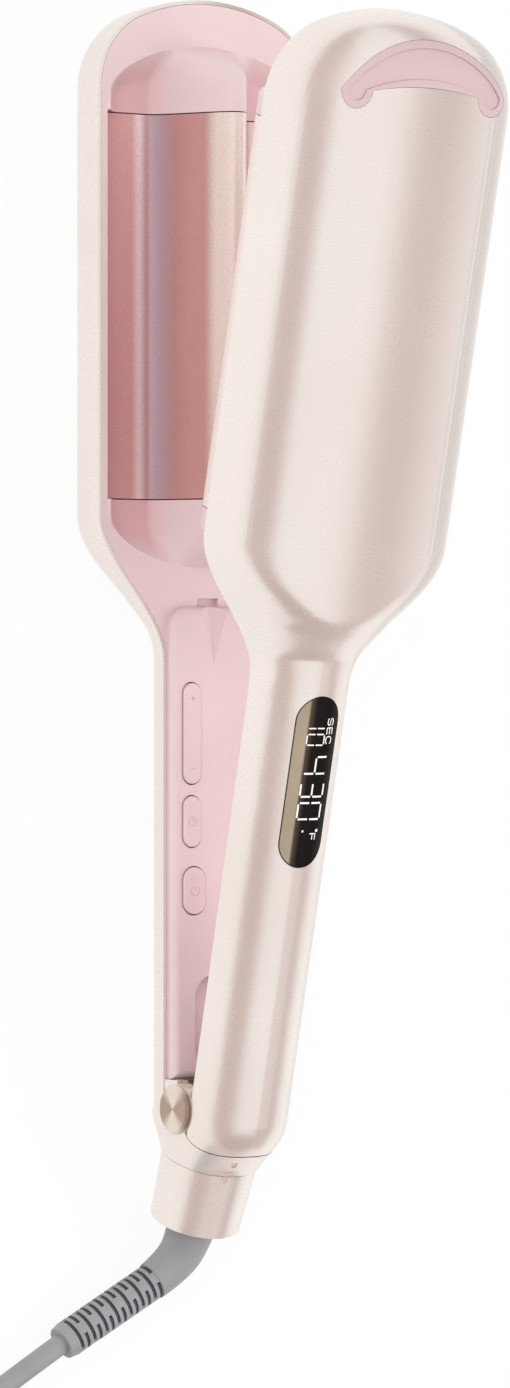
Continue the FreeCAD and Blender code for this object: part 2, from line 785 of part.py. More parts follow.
def button_parts():
    switches = []
    for name, (x, y, length, width) in buttons.items():
        cap = capsule(x, y, length, width, flange_top, panel_top + button_proud)
        top = [edge for edge in cap.Edges if edge.BoundBox.ZMin > panel_top]
        cap = cap.makeFillet(button_round, top)
        wide = min(width + 2 * button_flange, 2 * (panel_half - panel_skin - gap - y))
        long = rocker_flange if name == "temperature_rocker" else length + 2 * button_flange
        flange = capsule(x, y, long, wide, flange_top - flange_thick, flange_top)
        solid = fused(cap, flange)
        if name == "temperature_rocker":
            axle_end = panel_half - panel_skin + pivot_seat
            solid = fused(solid, rod(V(x, rocker_lug_start, pivot_z), V(0, 1, 0), pivot_radius,
                                     axle_end - rocker_lug_start))
        for sx, sy in button_stems(name):
            stem = block(sx - stem_half, sx + stem_half, sy - stem_half, sy + stem_half, stem_low, flange_top)
            solid = fused(solid, stem)
            body = block(sx - switch_half, sx + switch_half, sy - switch_half, sy + switch_half, board_top,
                         board_top + switch_height / 2)
            plunger = rod(V(sx, sy, board_top), V(0, 0, 1), plunger_radius, switch_height)
            switches.append(fused(body, plunger))
        nodes[name] = solid
    nodes["tact_switches"] = gathered(switches)
    nodes["control_board"] = block(board_start, board_end, -board_half, board_half, board_low, board_top)


# Upper arm, drawn like the lower one and then turned over and opened
def upper_arm():
    tail_inside = ring_start - wall
    below_rim = block(-lift_off, lift_off, -head_half, head_half, -lift_off, rim)
    end = from_open(tail_body(open_angle, 0, ring_start).common(seam_front(seam_radius)))
    hollow = from_open(tail_body(open_angle, wall, tail_inside).common(seam_front(seam_radius - wall)))
    outer = fused(arm_body(0, rim, 0), end.common(below_rim))
    inner = arm_body(wall, rim + overrun, 0).fuse(hollow)
    shell = outer.cut(inner)
    shell = shell.cut(plan_slab(lip, panel_start - wall, cover_low, rim + overrun))
    room = rod(V(0, -head_half, 0), V(0, 1, 0), ear_radius + 2 * gap, 2 * head_half)
    shell = shell.cut(room)
    window = capsule(display_mid, 0, display_length, display_width, rim - lift_off / 2, handle_floor + wall)
    shell = shell.cut(window).cut(crescent_seat(0))
    lens_face = capsule(display_mid, 0, display_length - 2 * seat_gap, display_width - 2 * seat_gap,
                        rim - lift_off / 2, handle_floor + wall)
    handle_skin = skin(0, wall)
    upper = {"upper_shell": screw_holes(shell), "display_lens": handle_skin.common(lens_face),
             "upper_tip_insert": crescent_insert(0)}
    module_top = handle_floor + module_thick
    upper["display_module"] = block(display_mid - module_length / 2, display_mid + module_length / 2,
                                    -module_half, module_half, handle_floor + seat_gap + lens_sag,
                                    module_top + lens_sag)
    board_base = module_top + lens_sag + seat_gap
    upper["display_board"] = block(display_mid - module_length / 2 - module_bar,
                                   display_mid + module_length / 2 + module_bar,
                                   -board_half, board_half, board_base, board_base + board_thick)
    cover = inner_cover(-1)
    cover = fused(cover, handle_panel())
    cover = cover.cut(panel_hollow())
    room_half = ear_outer - ear_thick
    cover = cover.cut(block(panel_start - overrun, block_end + gap, -room_half, room_half,
                            cover_low - overrun, panel_top - panel_skin))
    fin_x = panel_end - notch_length / 4
    upper["guide_fin"] = block(fin_x - fin_length / 2, fin_x + fin_length / 2, -fin_thick / 2, fin_thick / 2,
                               panel_top - panel_skin, panel_top + fin_reach)
    fin_seat = fin_thick / 2 + seat_gap / 2
    upper["upper_inner_cover"] = cover.cut(block(fin_x - fin_length / 2 - seat_gap / 2,
                                                 fin_x + fin_length / 2 + seat_gap / 2, -fin_seat, fin_seat,
                                                 panel_top - panel_skin - overrun, panel_top + overrun))
    upper["upper_heat_plate"] = wave_slab(-1, 0, None, plate_start, plate_end, 1)
    middle = (wave_pitch + land_end) / 2
    lead_start = display_mid + module_length / 2 + module_bar
    parts = heater_stack("upper", -1, [-middle, middle], [0], lead_start)
    for name, solids in parts.items():
        upper[name] = gathered(solids)
    for name, shape in hinge_block().items():
        upper[name] = shape
    for name, shape in upper.items():
        nodes[name] = to_upper(shape)


# Hinge barrels of the upper arm, with a bush in each
def hinge_block():
    end_y = ear_outer - ear_thick - gap
    bore = pin_radius + running + bush_wall
    solid = block(bridge_start, block_end, -end_y, end_y, -block_high, -block_low)
    solid = solid.fuse(block(bridge_start, block_end, -foot_half, foot_half, -block_foot, -block_high))
    bushes = []
    for side in (-1, 1):
        y0, y1 = sorted((side * barrel_inner, side * end_y))
        barrel = rod(V(0, y0, 0), V(0, 1, 0), barrel_radius, y1 - y0)
        arm = block(0, block_end, y0, y1, -block_high, -block_low)
        arm = arm.fuse(block(0, barrel_radius, y0, y1, -block_high, 0))
        keep = rod(V(0, y0 - overrun, 0), V(0, 1, 0), block_high, y1 - y0 + 2 * overrun)
        keep = keep.fuse(block(bridge_start, block_end, y0, y1, -block_high, 0))
        solid = solid.fuse([barrel, arm.common(keep)])
        solid = solid.cut(rod(V(0, y0 - overrun, 0), V(0, 1, 0), bore + seat_gap / 2, y1 - y0 + 2 * overrun))
        bush = rod(V(0, y0, 0), V(0, 1, 0), bore, y1 - y0)
        bushes.append(bush.cut(rod(V(0, y0 - overrun, 0), V(0, 1, 0), pin_radius + running,
                                   y1 - y0 + 2 * overrun)))
    return {"hinge_block": solid.removeSplitter(), "hinge_bushes": gathered(bushes)}


def hinge_parts():
    pin_end = ear_outer - seat_gap
    nodes["hinge_pin"] = rod(V(0, -pin_end, 0), V(0, 1, 0), pin_radius, 2 * pin_end)
    for name, side in (("left_hinge_cap", 1), ("right_hinge_cap", -1)):
        plain = cap_thick - cap_bevel
        disc = rod(V(0, side * ear_outer, 0), V(0, side, 0), cap_radius, plain)
        bevel = Part.makeCone(cap_radius, cap_radius - cap_bevel, cap_bevel,
                              V(0, side * (ear_outer + plain), 0), V(0, side, 0))
        nodes[name] = fused(disc, bevel)
    length = spring_pitch * spring_turns
    helix = Part.makeHelix(spring_pitch, length, spring_radius)
    section = Part.Wire(Part.Circle(V(spring_radius, 0, 0), V(0, 1, 0), spring_wire).toShape())
    coil = Part.Wire(helix).makePipeShell([section], True, True)
    turn = FreeCAD.Rotation(V(1, 0, 0), -90)
    coil.Placement = FreeCAD.Placement(V(0, -length / 2, 0), turn)
    nodes["jaw_spring"] = coil


# Lock ring, swivel and cord guard on the tail
def tail_parts():
    start = ring_start + ring_gap
    ring = Part.makeCone(ring_top_radius, ring_end_radius, ring_length, V(0, 0, start), V(0, 0, 1))
    ring = ring.cut(rod(V(0, 0, start - overrun), V(0, 0, 1), spigot_radius + running,
                        ring_length - ring_lip + overrun))
    ring = ring.cut(rod(V(0, 0, start), V(0, 0, 1), guard_radius + guard_room, ring_length + overrun))
    nodes["lock_ring"] = along_tail(ring)
    sleeve = rod(V(0, 0, swivel_end - swivel_length), V(0, 0, 1), spigot_bore - seat_gap, swivel_length)
    sleeve = sleeve.cut(rod(V(0, 0, 0), V(0, 0, 1), swivel_bore, lift_off))
    nodes["swivel_bush"] = along_tail(sleeve)
    nodes["cord_guard"] = cord_guard()


guard_end = V(guard_free_end[0], guard_free_end[1], guard_collar_height - hinge_z)
knee = V(guard_knee[0], guard_knee[1], guard_knee[2] - hinge_z)
guard_heading = (guard_end - knee).normalize()


def cord_guard():
    start = tail_axis * guard_start
    leave = (knee - start).normalize()
    turn = leave.getAngle(guard_heading)
    reach = guard_bend * math.tan(turn / 2)
    first = knee - leave * reach
    last = knee + guard_heading * reach
    inward = (guard_heading - leave * math.cos(turn)).normalize()
    center = first + inward * guard_bend
    sections = []
    radius_shares = [0, 0.05, 0.3, 0.65, 0.92, 1.06]
    rib_start = guard_end - guard_heading * (guard_rib_length + guard_collar)
    spots = [(start, tail_axis), (first, leave)]
    for share in (0.35, 0.7):
        angle = turn * share
        out = inward * -math.cos(angle) + leave * math.sin(angle)
        spots.append((center + out * guard_bend, leave * math.cos(angle) + inward * math.sin(angle)))
    spots.append((last, guard_heading))
    spots.append((rib_start + guard_heading * (guard_slot_width / 3), guard_heading))
    for (point, direction), share in zip(spots, radius_shares):
        radius = mixed(guard_radius, guard_rib_radius, share)
        sections.append(Part.Wire(Part.Circle(point, direction, radius).toShape()))
    neck = Part.makeLoft(sections, True, False)
    print("cord guard bend radius", round(guard_bend, 1))
    ribs = rod(rib_start, guard_heading, guard_rib_radius, guard_rib_length)
    collar = Part.makeCone(guard_rib_radius, guard_end_radius, guard_collar,
                           rib_start + guard_heading * guard_rib_length, guard_heading)
    cutters = []
    pitch = guard_rib_length / guard_slots
    frame = FreeCAD.Rotation(V(0, 0, 1), guard_heading)
    for i in range(guard_slots):
        ring = rod(V(0, 0, 0), V(0, 0, 1), guard_rib_radius + overrun, guard_slot_width)
        ring = ring.cut(rod(V(0, 0, -overrun), V(0, 0, 1), guard_rib_radius - guard_slot_depth, 3 * overrun))
        wide = 2 * guard_rib_radius
        bridge = block(-wide, wide, -guard_bridge / 2, guard_bridge / 2, -overrun, overrun)
        bridge.rotate(V(0, 0, 0), V(0, 0, 1), guard_turn + 90 * (i % 2))
        ring = ring.cut(bridge)
        at = rib_start + guard_heading * (pitch * (i + 1 / 2) - guard_slot_width / 2)
        ring.Placement = FreeCAD.Placement(at, frame)
        cutters.append(ring)
    ribs = ribs.cut(Part.makeCompound(cutters))
    stem_top = tail_axis * (swivel_end - swivel_length + overrun)
    stem = rod(stem_top, tail_axis, swivel_bore - seat_gap, swivel_length - overrun + seat_gap)
    return fused(neck, ribs, collar, stem)


# A round tube along straight runs and the largest tangent arcs that fit
def tube(points, radius, label):
    edges = []
    radii = []
    last = points[0]
    for i in range(1, len(points) - 1):
        before = points[i] - points[i - 1]
        after = points[i + 1] - points[i]
        turn = before.getAngle(after)
        reach = 0.45 * min(before.Length, after.Length)
        bend = reach / math.tan(turn / 2)
        radii.append(round(bend, 1))
        a = points[i] - before.normalize() * reach
        b = points[i] + after.normalize() * reach
        inward = (b + a) * 0.5 - points[i]
        depth = bend / math.cos(turn / 2) - bend
        edges.append(line(last, a))
        edges.append(arc(a, points[i] + inward.normalize() * depth, b))
        last = b
    edges.append(line(last, points[-1]))
    path = Part.Wire(edges)
    heading = (points[1] - points[0]).normalize()
    profile = Part.Wire(Part.Circle(points[0], heading, radius).toShape())
    solid = path.makePipeShell([profile], True, False)
    ideal = math.pi * radius ** 2 * path.Length
    print(label, "radii", radii, "length", round(path.Length, 1), "volume share", round(solid.Volume / ideal, 4))
    return solid, path.Length


def on_floor(x, y, z):
    return V(x, y, z - hinge_z)


# Coil of the length that is put away: in on the lower layer, a climb, out on the upper one
def coil_route(start, ahead):
    count = coil_half_turns
    radii = [coil_small + coil_pitch / 2 * (count - i) for i in range(count)]
    radii += [coil_small]
    radii += radii[:count][::-1]
    left = V(-ahead.y, ahead.x, 0)
    straight = ahead * (2 * cord_radius)
    edges = [line(start, start + straight)]
    samples = []
    point = start + straight
    for i, radius in enumerate(radii):
        climb = coil_pitch if i == count else 0
        end = point + left * (2 * radius) + V(0, 0, climb)
        chord = (end - point) * 0.5
        middle = point + chord + ahead * chord.Length
        edges.append(arc(point, middle, end))
        for k in range(24):
            angle = math.pi * k / 24
            spot = point + chord * (1 - math.cos(angle)) + ahead * (chord.Length * math.sin(angle))
            samples.append(spot)
        point = end
        ahead, left = ahead * -1, left * -1
    finish = point + ahead * (2 * cord_radius)
    edges.append(line(point, finish))
    return Part.Wire(edges), samples, finish, ahead, radii


def least_gap(samples):
    least = lift_off
    skip = 20
    for i in range(len(samples)):
        for j in range(i + skip, len(samples)):
            least = min(least, samples[i].distanceToPoint(samples[j]))
    return least - 2 * cord_radius


def cord_parts():
    lead = [guard_end] + [on_floor(*p) for p in lead_points]
    nodes["cord_lead"], lead_length = tube(lead, cord_radius, "cord lead")
    start_heading = V(lead[-1].x - lead[-2].x, lead[-1].y - lead[-2].y, 0).normalize()
    path, samples, finish, ahead, radii = coil_route(lead[-1], start_heading)
    profile = Part.Wire(Part.Circle(lead[-1], start_heading, cord_radius).toShape())
    coil = path.makePipeShell([profile], True, False)
    ideal = math.pi * cord_radius ** 2 * path.Length
    print("coil radii", [round(r, 1) for r in radii], "length", round(path.Length, 1))
    print("coil volume share", round(coil.Volume / ideal, 4), "least gap", round(least_gap(samples), 3))
    nodes["cord_coil"] = coil
    end = [finish]
    angle = math.degrees(math.atan2(ahead.y, ahead.x))
    for length, drop_angle, drop in tail_points:
        way = math.radians(angle)
        end.append(end[-1] + V(length * math.cos(way), length * math.sin(way), drop))
        angle -= drop_angle
    nodes["cord_tail"], tail_length = tube(end, cord_radius, "cord tail")
    print("whole cord", round(lead_length + path.Length + tail_length, 1))
    low = min(p.z for p in samples) - cord_radius
    tops = max(p.z for p in samples) + cord_radius
    middle = V(sum(p.x for p in samples) / len(samples), sum(p.y for p in samples) / len(samples), 0)
    nodes["cord_tie"] = cord_tie(middle, samples, low, tops)
    plug_parts(end[-1], end[-1] - end[-2])


# Strap round the bundle of turns
def cord_tie(middle, samples, low, tops):
    way = V(math.cos(math.radians(tie_angle)), math.sin(math.radians(tie_angle)), 0)
    across = V(-way.y, way.x, 0)
    near = []
    for p in samples:
        flat = V(p.x - middle.x, p.y - middle.y, 0)
        if abs(flat.dot(across)) < tie_width and flat.dot(way) > 0:
            near.append(flat.dot(way))
    inner = min(near) - cord_radius - tie_gap
    outer = max(near) + cord_radius + tie_gap

    def band(extra):
        solid = block(inner - extra, outer + extra, -tie_width / 2, tie_width / 2, low - tie_gap - extra,
                      tops + tie_gap + extra)
        edges = [e for e in solid.Edges if e.BoundBox.YLength > tie_width - seat_gap]
        return solid.makeFillet(cord_radius + extra, edges)
    solid = band(tie_thick).cut(band(0))
    turn = FreeCAD.Rotation(V(0, 0, 1), tie_angle)
    solid.Placement = FreeCAD.Placement(middle, turn)
    return solid


def plug_parts(entry, direction):
    direction = V(direction.x, direction.y, 0)
    turn = FreeCAD.Rotation(V(1, 0, 0), direction)
    place = FreeCAD.Placement(entry, turn)
    neck = Part.makeCone(plug_entry_radius, plug_neck_radius, plug_neck, V(0, 0, 0), V(1, 0, 0))
    end = plug_neck + plug_length
    body = block(plug_neck, end, -plug_half, plug_half, -plug_half_high, plug_half_high)
    body = body.makeFillet(plug_round, [e for e in body.Edges if e.BoundBox.XMin < end - seat_gap])
    plug = fused(body, neck)
    blades = []
    face = plug_neck + plug_length
    for side in (-1, 1):
        y = side * blade_spread / 2
        blades.append(block(face, face + blade_length, y - blade_thick / 2, y + blade_thick / 2,
                            -blade_width / 2, blade_width / 2))
    for name, shape in (("plug_body", plug), ("plug_blades", gathered(blades))):
        shape.Placement = place
        nodes[name] = shape


lower_arm()
button_parts()
upper_arm()
hinge_parts()
tail_parts()
cord_parts()

for name, shape in nodes.items():
    shape = shape.copy()
    shape.translate(V(hinge_x, 0, hinge_z))
    solids = shape.Solids
    flat = solids[0] if len(solids) == 1 else Part.makeCompound(solids)
    box = flat.BoundBox
    print(name, len(solids), flat.isValid(), round(flat.Volume, 1),
          [round(v, 1) for v in (box.XMin, box.XMax, box.YMin, box.YMax, box.ZMin, box.ZMax)])
    flat.exportStep("parts/" + name + ".step")
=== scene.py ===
import bmesh
import bpy
import json
import math
from mathutils import Matrix, Vector


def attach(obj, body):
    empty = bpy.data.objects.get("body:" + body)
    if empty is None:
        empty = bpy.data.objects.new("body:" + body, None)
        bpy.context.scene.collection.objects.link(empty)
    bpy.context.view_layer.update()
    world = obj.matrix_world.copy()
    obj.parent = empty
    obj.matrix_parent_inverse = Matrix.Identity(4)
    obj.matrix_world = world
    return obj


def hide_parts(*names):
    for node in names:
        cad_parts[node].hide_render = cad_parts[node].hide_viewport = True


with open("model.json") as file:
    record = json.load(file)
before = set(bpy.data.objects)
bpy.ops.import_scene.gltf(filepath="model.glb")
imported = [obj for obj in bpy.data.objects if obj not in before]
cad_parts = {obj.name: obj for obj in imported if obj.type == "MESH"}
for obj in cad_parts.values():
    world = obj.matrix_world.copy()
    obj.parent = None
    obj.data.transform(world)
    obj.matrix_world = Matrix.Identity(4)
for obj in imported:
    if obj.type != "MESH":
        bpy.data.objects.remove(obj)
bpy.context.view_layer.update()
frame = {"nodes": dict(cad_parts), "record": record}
nodes = frame["nodes"]
mm = 0.001
hinge = Vector((-206 * mm, 0, 23.8 * mm))
openTurn = Matrix.Rotation(math.radians(-13.6), 4, "Y") @ Matrix.Rotation(math.pi, 4, "X")
upperPlace = Matrix.Translation(hinge) @ openTurn  # upper arm, drawn inner side up, to its open place


def tint(red, green, blue):
    def straight(c):
        c /= 255
        return c / 12.92 if c <= 0.04045 else ((c + 0.055) / 1.055) ** 2.4
    return (straight(red), straight(green), straight(blue), 1)


class Value:
    # a socket that takes part in sums
    def __init__(self, owner, socket):
        self.owner = owner
        self.socket = socket

    def sum(self, operation, *others, swap=False):
        ends = [self, *others]
        if swap:
            ends.reverse()
        return self.owner.add("ShaderNodeMath", {"operation": operation}, dict(enumerate(ends)))

    def __add__(self, other):
        return self.sum("ADD", other)

    def __sub__(self, other):
        return self.sum("SUBTRACT", other)

    def __rsub__(self, other):
        return self.sum("SUBTRACT", other, swap=True)

    def __mul__(self, other):
        return self.sum("MULTIPLY", other)

    def __truediv__(self, other):
        return self.sum("DIVIDE", other)

    def __abs__(self):
        return self.sum("ABSOLUTE")

    __radd__ = __add__
    __rmul__ = __mul__


class Nodes:
    # a node tree and the one way to put nodes in it
    def __init__(self, tree):
        self.tree = tree

    def feed(self, socket, value):
        if isinstance(value, Value):
            self.tree.links.new(value.socket, socket)
        else:
            socket.default_value = value

    def add(self, kind, settings=None, sockets=None, out=0):
        node = self.tree.nodes.new(kind)
        for key, value in (settings or {}).items():
            if key == "stops":
                ramp = node.color_ramp.elements
                while len(ramp) < len(value):
                    ramp.new(1)
                for stop, (place, colour) in zip(ramp, value):
                    stop.position = place
                    stop.color = colour
            else:
                setattr(node, key, value)
        for key, value in (sockets or {}).items():
            self.feed(node.inputs[key], value)
        return Value(self, node.outputs[out])

    def blend(self, share, first, second):
        return self.add("ShaderNodeMix", {"data_type": "RGBA"}, {0: share, 6: first, 7: second}, 2)

    def limit(self, value, low, high, smooth=False):
        kind = "SMOOTHSTEP" if smooth else "LINEAR"
        return self.add("ShaderNodeMapRange", {"interpolation_type": kind}, {0: value, 1: low, 2: high})

    def part(self, vector, axis):
        return self.add("ShaderNodeSeparateXYZ", None, {0: vector}, axis)

    def ray(self, kind):
        return self.add("ShaderNodeLightPath", out=kind)


class Finish(Nodes):
    # a material of its own
    def __init__(self, name):
        self.material = bpy.data.materials.new(name)
        self.material.use_nodes = True
        super().__init__(self.material.node_tree)
        self.tree.nodes.clear()
        self.output = self.tree.nodes.new("ShaderNodeOutputMaterial")

    def place(self, middle=(0, 0, 0)):
        spot = self.add("ShaderNodeTexCoord", out="Object")
        if not any(middle):
            return spot
        return self.add("ShaderNodeVectorMath", {"operation": "SUBTRACT"}, {0: spot, 1: tuple(middle)})

    def noise(self, scale, detail):
        return self.add("ShaderNodeTexNoise", None, {"Vector": self.place(), "Scale": scale, "Detail": detail})

    def bump(self, height, strength=1, distance=1):
        return self.add("ShaderNodeBump", None, {"Height": height, "Strength": strength, "Distance": distance})

    def skin(self, **sockets):
        names = {"colour": "Base Color", "roughness": "Roughness", "metal": "Metallic", "coat": "Coat Weight",
                 "coatRoughness": "Coat Roughness", "normal": "Normal", "specular": "Specular IOR Level"}
        shader = self.add("ShaderNodeBsdfPrincipled", None, {names[k]: v for k, v in sockets.items()})
        self.tree.links.new(shader.socket, self.output.inputs["Surface"])
        return self.material


# Pearl paint: fine flakes over a pale base, and a slight crown along the arms
pearlLook = {"pale": (243, 234, 228), "warm": (239, 227, 219), "spark": (255, 250, 245), "flakeScale": 3800,
             "flakeDepth": 0.0000002, "sparkFrom": 0.55, "sparkTo": 0.8, "sparkShare": 0.1, "sparkGloss": 0.03,
             "cloudScale": 18, "cloudFrom": 0.3, "cloudTo": 0.75, "cloudMatt": 0.04, "roughness": 0.27, "metal": 0.7,
             "coat": 0.15, "coatRoughness": 0.3, "crownRadius": 0.06, "crownHalf": 0.0208}


def pearlFinish(name, look):
    f = Finish(name)
    flake = f.noise(look["flakeScale"], 1)
    cloud = f.noise(look["cloudScale"], 2)
    spark = f.limit(flake, look["sparkFrom"], look["sparkTo"])
    warm = f.limit(cloud, look["cloudFrom"], look["cloudTo"])
    base = f.blend(warm, tint(*look["pale"]), tint(*look["warm"]))
    colour = f.blend(spark * look["sparkShare"], base, tint(*look["spark"]))
    roughness = look["roughness"] + spark * -look["sparkGloss"] + cloud * look["cloudMatt"]
    across = abs(f.part(f.place(), "Y"))
    near = across.sum("MINIMUM", look["crownHalf"])
    crown = (near * near * 0.5 + (across - near) * look["crownHalf"]) * (-1 / look["crownRadius"])
    return f.skin(colour=colour, roughness=roughness, metal=look["metal"], coat=look["coat"],
                  coatRoughness=look["coatRoughness"], normal=f.bump(crown + flake * look["flakeDepth"]))


# Moulded plastic with a faint grain; below the lower shell's rim the pink is painted deeper and darker, as painted
# shade in its hollows
plasticLook = {"broadScale": 45, "broadFrom": 0.3, "broadTo": 0.75, "grainMatt": 0.12, "grainDepth": 0.0002,
               "coatRoughness": 0.2, "paintedShadeFrom": 0.011, "paintedShadeTo": 0.0178}


def plasticFinish(name, colour, roughness, grain=1400, depth=0.05, coat=0.0, metal=0.0, uneven=0.94, paintedShade=None):
    look = plasticLook
    f = Finish(name)
    fine = f.noise(grain, 2)
    broad = f.limit(f.noise(look["broadScale"], 3), look["broadFrom"], look["broadTo"])
    dark = tuple(c * uneven for c in colour)
    shade = f.blend(broad, tint(*colour), tint(*dark))
    # painted shade: below a given height, where the hollows lie, the colour turns a deeper, darker pink
    if paintedShade:
        above = f.limit(f.part(f.place(), "Z"), look["paintedShadeFrom"], look["paintedShadeTo"], True)
        shade = f.blend(above, tint(*paintedShade), shade)
    return f.skin(colour=shade, roughness=roughness + (fine - 0.5) * look["grainMatt"], metal=metal, coat=coat,
                  coatRoughness=look["coatRoughness"], normal=f.bump(fine, depth, look["grainDepth"]))


# Glossy coating on the wave plates, with a hollow in each land. Painted light along the plates: lighter outer lands,
# a lilac painted reflection band, and a pale glint and a pale crest as painted highlights; the upper one's flanks
# are painted pale as a painted highlight
plateLook = {"rose": (206, 150, 147), "deep": (197, 139, 136), "land": (226, 174, 173), "lilac": (184, 163, 174),
             "glint": (252, 232, 234), "crest": (241, 227, 219), "spark": (244, 214, 206), "flankHighlight": (244, 229, 222),
             "flakeScale": 3600, "flakeDepth": 0.000003, "sparkFrom": 0.5, "sparkTo": 0.8, "sparkShare": 0.25,
             "sparkGloss": 0.06, "cloudScale": 60, "cloudMatt": 0.05, "landMiddle": 0.0225, "landHalf": 0.0075,
             "landHollow": 0.0004, "landSmooth": 0.5, "landFrom": 0.017, "landSoft": 0.003, "lilacAt": 0.0130,
             "lilacHalf": 0.0042, "glintAt": 0.0173, "glintHalf": 0.0028, "bandShare": 0.9, "crestFrom": 0.0044,
             "crestTo": 0.0064, "flankFrom": 0.0238, "flankSoft": 0.0006, "roughness": 0.27, "metal": 0.32,
             "coat": 0.3, "coatRoughness": 0.2}


def plateFinish(name, look, paintFlankHighlight):
    f = Finish(name)
    flake = f.noise(look["flakeScale"], 1)
    spark = f.limit(flake, look["sparkFrom"], look["sparkTo"])
    cloud = f.noise(look["cloudScale"], 3)
    across = abs(f.part(f.place(), "Y"))
    base = f.blend(cloud, tint(*look["rose"]), tint(*look["deep"]))
    # painted light: the outer lands are painted lighter
    outerLight = f.limit(across, look["landFrom"], look["landFrom"] + look["landSoft"])
    base = f.blend(outerLight, base, tint(*look["land"]))
    # painted reflection and painted highlight: a lilac band and a pale glint band along the plate
    for band in ("lilac", "glint"):
        share = 1 - f.limit(abs(across - look[band + "At"]), 0, look[band + "Half"], True)
        base = f.blend(share * look["bandShare"], base, tint(*look[band]))
    # painted highlight: a pale band along the crest
    base = f.blend(f.limit(across, look["crestTo"], look["crestFrom"], True), base, tint(*look["crest"]))
    colour = f.blend(spark * look["sparkShare"], base, tint(*look["spark"]))
    metal = look["metal"]
    # painted highlight: the upper plate's flanks are painted pale, with less metal
    if paintFlankHighlight:
        flankHighlight = f.limit(across, look["flankFrom"], look["flankFrom"] + look["flankSoft"])
        colour = f.blend(flankHighlight, colour, tint(*look["flankHighlight"]))
        metal = (1 - flankHighlight) * metal
    land = ((across - look["landMiddle"]) / look["landHalf"]).sum("SMOOTH_MAX", -1, look["landSmooth"])
    height = land * land * look["landHollow"] + flake * look["flakeDepth"]
    roughness = look["roughness"] + spark * -look["sparkGloss"] + cloud * look["cloudMatt"]
    return f.skin(colour=colour, roughness=roughness, metal=metal, coat=look["coat"],
                  coatRoughness=look["coatRoughness"], normal=f.bump(height))


# Turned metal: rings about the hinge axis, and a painted sheen that is bright along the arms and dark across them
capLook = {"sheenBright": (236, 222, 206), "dark": (176, 152, 136), "ringScale": 5200, "ringDepth": 0.000012,
           "ringFrom": 0.35, "ringTo": 0.7, "ringShare": 0.25, "ringMatt": 0.1, "sheenFanFrom": 0.15, "sheenFanTo": 0.95,
           "roughness": 0.3, "metal": 0.6}


def turnedFinish(name, look):
    f = Finish(name)
    spot = f.place(hinge)
    along, upward = f.part(spot, "X"), f.part(spot, "Z")
    angle = upward.sum("ARCTAN2", along)
    radius = (along * along + upward * upward).sum("SQRT")
    ring = f.add("ShaderNodeTexNoise", {"noise_dimensions": "1D"},
                 {"W": radius * look["ringScale"], "Scale": 1.0, "Detail": 3})
    # painted sheen: by angle about the hinge axis, the colour turns bright along the arms and dark across them
    sheenFan = (angle * 2).sum("COSINE") * 0.5 + 0.5
    shade = f.blend(f.limit(sheenFan, look["sheenFanFrom"], look["sheenFanTo"], True), tint(*look["dark"]), tint(*look["sheenBright"]))
    grooves = f.limit(ring, look["ringFrom"], look["ringTo"]) * look["ringShare"]
    shade = f.blend(grooves, shade, tint(*look["dark"]))
    return f.skin(colour=shade, roughness=look["roughness"] + ring * look["ringMatt"], metal=look["metal"],
                  normal=f.bump(ring * look["ringDepth"]))


# Display: dark glass with a dark rim, and a painted reflection along its outer side: a pale strip with a warm fade
# into it
glassLook = {"dark": (20, 17, 16), "warm": (74, 60, 48), "reflectionStrip": (170, 154, 132), "stripFrom": 0.0030,
             "stripSoft": 0.0003, "fade": 0.0022, "middle": 0.0884, "half": 0.0217, "round": 0.0064, "rim": 0.0002,
             "rimSoft": 0.0002, "hazeScale": 90, "hazeFrom": 0.3, "hazeTo": 0.7, "hazeDark": 0.94, "hazeMatt": 0.05,
             "roughness": 0.14, "specular": 0.15}


def glassFinish(name, look):
    f = Finish(name)
    spot = f.place(hinge)
    across = f.part(spot, "Y")
    # painted reflection: a pale strip along the outer side, with a warm fade beside it
    reflectionStrip = f.limit(across, look["stripFrom"] - look["stripSoft"], look["stripFrom"] + look["stripSoft"])
    near = f.limit(across, look["stripFrom"] - look["fade"], look["stripFrom"], True)
    haze = f.noise(look["hazeScale"], 2)
    base = f.blend(near, tint(*look["dark"]), tint(*look["warm"]))
    dim = tuple(c * look["hazeDark"] for c in look["reflectionStrip"])
    pale = f.blend(f.limit(haze, look["hazeFrom"], look["hazeTo"]), tint(*look["reflectionStrip"]), tint(*dim))
    shade = f.blend(reflectionStrip, base, pale)
    alongArm = openTurn @ Vector((1, 0, 0))
    along = f.add("ShaderNodeVectorMath", {"operation": "DOT_PRODUCT"}, {0: spot, 1: tuple(alongArm)}, 1)
    beyond = (abs(along - look["middle"]) - (look["half"] - look["round"])).sum("MAXIMUM", 0)
    reach = (beyond * beyond + across * across).sum("SQRT")
    edge = look["round"] - look["rim"]
    rim = f.limit(reach, edge - look["rimSoft"], edge)
    colour = f.blend(rim, shade, tint(*look["dark"]))
    return f.skin(colour=colour, roughness=look["roughness"] + haze * look["hazeMatt"], specular=look["specular"])


